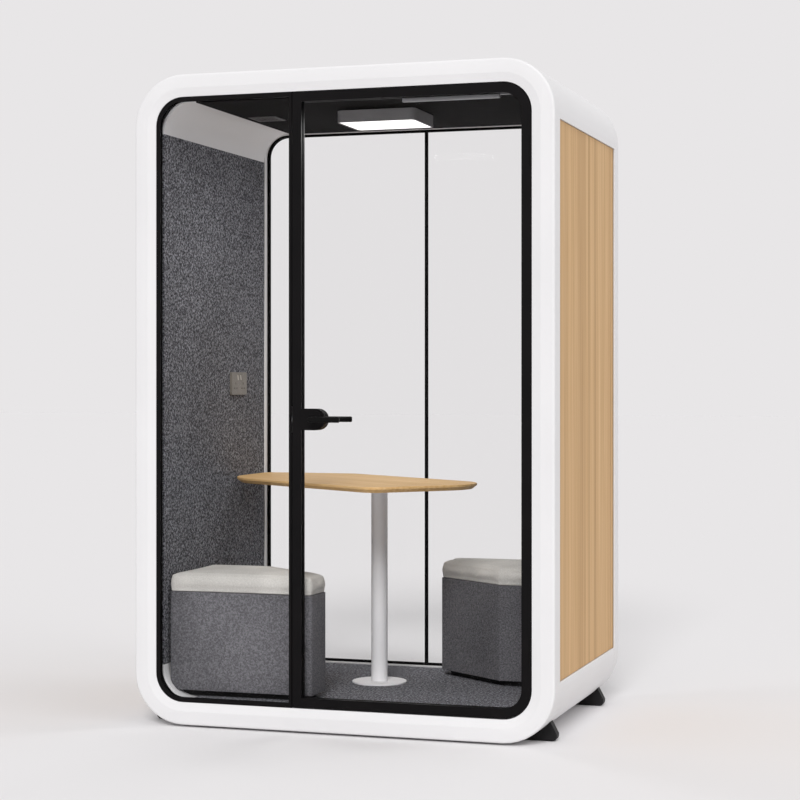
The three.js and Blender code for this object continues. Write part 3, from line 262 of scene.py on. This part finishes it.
plyEdge = oakVeneer("raw birch plywood", {  # dry and a little darker than the veneer
    "turn": 0, "across": "X", "along": "Y", "stripMm": 200, "seamMm": 1, "grainMm": 12, "grainRatio": 30,
    "grain": [(0.3, "#a5855c"), (0.5, "#b89668"), (0.7, "#c7a87c")],
    "strips": [(0.0, "#e8e2da"), (0.5, "#f4f0ea"), (1.0, "#ffffff")], "seam": "#8f7048"})

# Pieces whose finish differs from the rest of their slot; the stand's whiter paint is painted light
ownFinish = {
    "table_column": "stand_paint_lit", "table_base": "stand_paint_lit", "table_plate": "stand_paint_lit",
    "outer_lever": "lever_black", "inner_lever": "lever_black", "vent_grille": "vent_grey",
    "front_rocker": "pale_rocker", "rear_rocker": "pale_rocker",
}


def materialFor(node):
    if node == "table_top":
        return tableOak
    if node in ownFinish:
        return finish[ownFinish[node]]
    if slotOf[node] == "oak":
        return sideOak
    if slotOf[node] == "plywood":
        return plyEdge
    return finish[slotOf[node]]


for name, obj in nodes.items():
    obj.material_slots[0].material = materialFor(name)
print("materials set:", len(bpy.data.materials))


def standFor(node, mesh, name):  # a new piece on the node's body that takes the node's place
    piece = bpy.data.objects.new(name, mesh)
    bpy.context.scene.collection.objects.link(piece)
    mesh.materials.clear()
    mesh.materials.append(materialFor(node))
    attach(piece, bodyOf[node])
    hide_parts(node)
    return piece


weld = {"joinMm": 0.05, "flatDegrees": 0.5}  # points closer than this join, faces flatter than this merge


def weldedMesh(node):
    mesh = nodes[node].data.copy()
    shape = bmesh.new()
    shape.from_mesh(mesh)
    bmesh.ops.remove_doubles(shape, verts=shape.verts, dist=weld["joinMm"] / 1000)
    bmesh.ops.dissolve_limit(shape, angle_limit=math.radians(weld["flatDegrees"]), verts=shape.verts,
                             edges=shape.edges)
    shape.to_mesh(mesh)
    shape.free()
    return mesh


# Pieces with round or eased edges: the smooth angle in degrees, and the width of the eased arris in mm
easedPieces = {
    "front_frame": (25, 0.0), "rear_frame": (25, 0.0), "roof_shell": (25, 0.8), "base_shell": (25, 0.8),
    "upper_liner": (25, 0.6), "lower_liner": (25, 0.6), "left_oak_panel": (30, 1.2),
    "right_oak_panel": (30, 1.2), "front_left_foot": (30, 1.5), "front_right_foot": (30, 1.5),
    "rear_left_foot": (30, 1.5), "rear_right_foot": (30, 1.5), "fixed_pane_frame": (25, 0.6),
    "mullion": (30, 0.6), "door_frame": (25, 0.8), "lock_case": (25, 0.8), "outer_lever": (30, 0.0),
    "inner_lever": (30, 0.0), "closer_rail": (30, 0.5), "closer_arm": (30, 0.5), "closer_body": (30, 1.0),
    "rear_gasket": (25, 0.5), "rear_joint_strip": (30, 0.4), "light_housing": (25, 1.2),
    "light_diffuser": (30, 0.8), "fan_rotor": (30, 0.0), "fan_housing": (30, 0.8), "socket_plate": (30, 0.8),
    "front_rocker": (30, 1.0), "rear_rocker": (30, 1.0), "table_top": (20, 0.5), "table_plate": (30, 0.6),
    "table_column": (30, 0.4), "table_base": (30, 1.2), "left_bench_body": (30, 3.0),
    "right_bench_body": (30, 3.0), "left_bench_plinth": (30, 1.0), "right_bench_plinth": (30, 1.0),
}
arrisCut = {"segments": 3, "sharpDegrees": 40}
for node, (angle, arris) in easedPieces.items():
    mesh = weldedMesh(node)
    mesh.polygons.foreach_set("use_smooth", [True] * len(mesh.polygons))
    mesh.set_sharp_from_angle(angle=math.radians(angle))
    piece = standFor(node, mesh, node + "_eased")
    if arris:
        ease = piece.modifiers.new("arris", "BEVEL")
        ease.width = arris / 1000
        ease.segments = arrisCut["segments"]
        ease.limit_method = "ANGLE"
        ease.angle_limit = math.radians(arrisCut["sharpDegrees"])
        ease.use_clamp_overlap = True
print("eased pieces:", len(easedPieces))


def bakeShape(piece):
    graph = bpy.context.evaluated_depsgraph_get()
    shaped = bpy.data.meshes.new_from_object(piece.evaluated_get(graph))
    piece.modifiers.clear()
    piece.data = shaped


# Bench cushions: foam in a sewn wool cover, swelled by cloth pressure and held close to the solid
cushion = {"voxelMm": 6, "shrinkMm": 1.5, "pressure": 4.0, "stiffness": 40, "frames": 10, "capMm": 4,
           "fill": 0.8, "restMm": 8}


def swellCushion(piece, cushion):
    low = Vector(piece.bound_box[0])
    remesh = piece.modifiers.new("remesh", "REMESH")
    remesh.mode = "VOXEL"
    remesh.voxel_size = cushion["voxelMm"] / 1000
    bakeShape(piece)
    start = [v.co.copy() for v in piece.data.vertices]
    for vertex in piece.data.vertices:
        vertex.co -= vertex.normal * cushion["shrinkMm"] / 1000
    cloth = piece.modifiers.new("cover", "CLOTH")
    cloth.settings.use_pressure = True
    cloth.settings.uniform_pressure_force = cushion["pressure"]
    cloth.settings.effector_weights.gravity = 0
    cloth.settings.tension_stiffness = cushion["stiffness"]
    cloth.settings.compression_stiffness = cushion["stiffness"]
    cloth.point_cache.frame_end = cushion["frames"]
    for step in range(1, cushion["frames"] + 1):
        bpy.context.scene.frame_set(step)
    bakeShape(piece)
    bpy.context.scene.frame_set(1)
    cap = cushion["capMm"] / 1000
    floorBand = low.z + cushion["restMm"] / 1000
    for vertex, origin in zip(piece.data.vertices, start):
        move = vertex.co - origin
        if move.length > cap:
            move = move.normalized() * cap
        if origin.z < floorBand:  # the underside stays flat on the bench body
            move *= max(0.0, (origin.z - low.z) / (floorBand - low.z))
        vertex.co = origin + move
        vertex.co.z = max(vertex.co.z, low.z)


for side in ("left", "right"):
    node = side + "_bench_cushion"
    piece = standFor(node, weldedMesh(node), node + "_padded")
    bpy.context.view_layer.update()
    swellCushion(piece, cushion)
    piece.data.polygons.foreach_set("use_smooth", [True] * len(piece.data.polygons))
    softer = piece.modifiers.new("round", "SUBSURF")
    softer.levels = 1
    softer.render_levels = 1
print("cushions swelled")

# Stage: a pale floor, an even sky and soft suns. Together they light level ground to one, so the floor
# keeps its paper colour out to the horizon and meets the backdrop without a line.
stage = {"paper": "#e8e6e7", "floorSize": 120, "floorDropMm": 0.5, "sunDistance": 8,
         "fibreMm": 3, "fibreStrength": 0.05, "fibreHeightMm": 0.1}
suns = {  # strength, degrees round from the front to the right, degrees up, softness in degrees
    "front_sun": (1.7, 12, 35, 20),
    "side_sun": (0.55, 86, 28, 70),
    "top_sun": (0.3, 0, 80, 60),
}
fromSuns = sum(power * math.sin(math.radians(up)) / math.pi for power, around, up, soft in suns.values())
# Uncoated paper roll: matt and even, so only the shadow shows on it
paper, tree, shader, place = startMaterial("pale studio paper", {"Roughness": 1.0, "Specular IOR Level": 0.0})
shader.inputs["Base Color"].default_value = linearColor(stage["paper"])
fibre = addNode(tree, "TexNoise", {"Scale": perMetre(stage["fibreMm"]), "Detail": 2.0}, {"Vector": place})
addBump(tree, shader, fibre.outputs[0], stage["fibreStrength"], stage["fibreHeightMm"])
floorMesh = bpy.data.meshes.new("studio_floor")
half = stage["floorSize"] / 2
floorCorners = [(-half, -half, 0), (half, -half, 0), (half, half, 0), (-half, half, 0)]
floorMesh.from_pydata(floorCorners, [], [(0, 1, 2, 3)])
floorMesh.materials.append(paper)
floor = bpy.data.objects.new("studio_floor", floorMesh)
floor.location.z = -stage["floorDropMm"] / 1000
bpy.context.scene.collection.objects.link(floor)

# World: the paper colour where it is seen, directly or in metal and glass, and a dimmer white as light
world = bpy.data.worlds.new("studio")
bpy.context.scene.world = world
world.use_nodes = True
tree = world.node_tree
backdrop = tree.nodes["Background"]
backdrop.inputs["Color"].default_value = linearColor(stage["paper"])
backdrop.inputs["Strength"].default_value = 1.0
ambient = addNode(tree, "Background", {"Color": (1, 1, 1, 1), "Strength": 1 - fromSuns})
path = addNode(tree, "LightPath")
seen = addNode(tree, "Math", {"operation": "MAXIMUM"},
               {0: path.outputs["Is Camera Ray"], 1: path.outputs["Is Transmission Ray"]})
seenToo = addNode(tree, "Math", {"operation": "MAXIMUM"},
                  {0: seen.outputs[0], 1: path.outputs["Is Glossy Ray"]})
either = addNode(tree, "MixShader", None,
                 {0: seenToo.outputs[0], 1: ambient.outputs[0], 2: backdrop.outputs[0]})
tree.links.new(tree.nodes["World Output"].inputs["Surface"], either.outputs[0])


def addLamp(name, kind, spot, toward, settings):
    lamp = bpy.data.lights.new(name, kind)
    for key, value in settings.items():
        setattr(lamp, key, value)
    holder = bpy.data.objects.new(name, lamp)
    holder.location = spot
    holder.rotation_euler = (Vector(toward) - holder.location).to_track_quat("-Z", "Y").to_euler()
    bpy.context.scene.collection.objects.link(holder)


for name, (power, around, up, soft) in suns.items():
    level = math.cos(math.radians(up))
    spot = Vector((level * math.sin(math.radians(around)), -level * math.cos(math.radians(around)),
                   math.sin(math.radians(up)))) * stage["sunDistance"]
    addLamp(name, "SUN", spot, (0, 0, 0), {"energy": power, "angle": math.radians(soft)})

# Cabin light: as large as the diffuser, just under it
cabinLight = {"watts": 4.6, "dropMm": 5}
lampBox = [Vector(corner) for corner in nodes["light_diffuser"].bound_box]
low, high = lampBox[0], lampBox[6]
glow = {"shape": "RECTANGLE", "size": high[0] - low[0], "size_y": high[1] - low[1],
        "energy": cabinLight["watts"]}
below = Vector(((low[0] + high[0]) / 2, (low[1] + high[1]) / 2, low[2] - cabinLight["dropMm"] / 1000))
addLamp("cabin_light", "AREA", below, below - Vector((0, 0, 1)), glow)

# Camera: level, at the photo's angle, with the horizon moved by a lens shift
view = {"turn": 17.841, "at": (2.2176, -6.6999, 1.1977), "focalPixels": 1953.1, "imagePixels": 800,
        "horizon": 380.94, "sensorMm": 36, "reach": 200}
lens = bpy.data.cameras.new("photo_camera")
lens.sensor_width = view["sensorMm"]
lens.lens = view["focalPixels"] * lens.sensor_width / view["imagePixels"]
lens.shift_y = (view["horizon"] - view["imagePixels"] / 2) / view["imagePixels"]
lens.clip_end = view["reach"]
camera = bpy.data.objects.new("photo_camera", lens)
camera.location = view["at"]
camera.rotation_euler = (math.radians(90), 0, math.radians(view["turn"]))
bpy.context.scene.collection.objects.link(camera)
bpy.context.scene.camera = camera
bpy.context.scene.view_settings.view_transform = "Standard"
print("stage set")
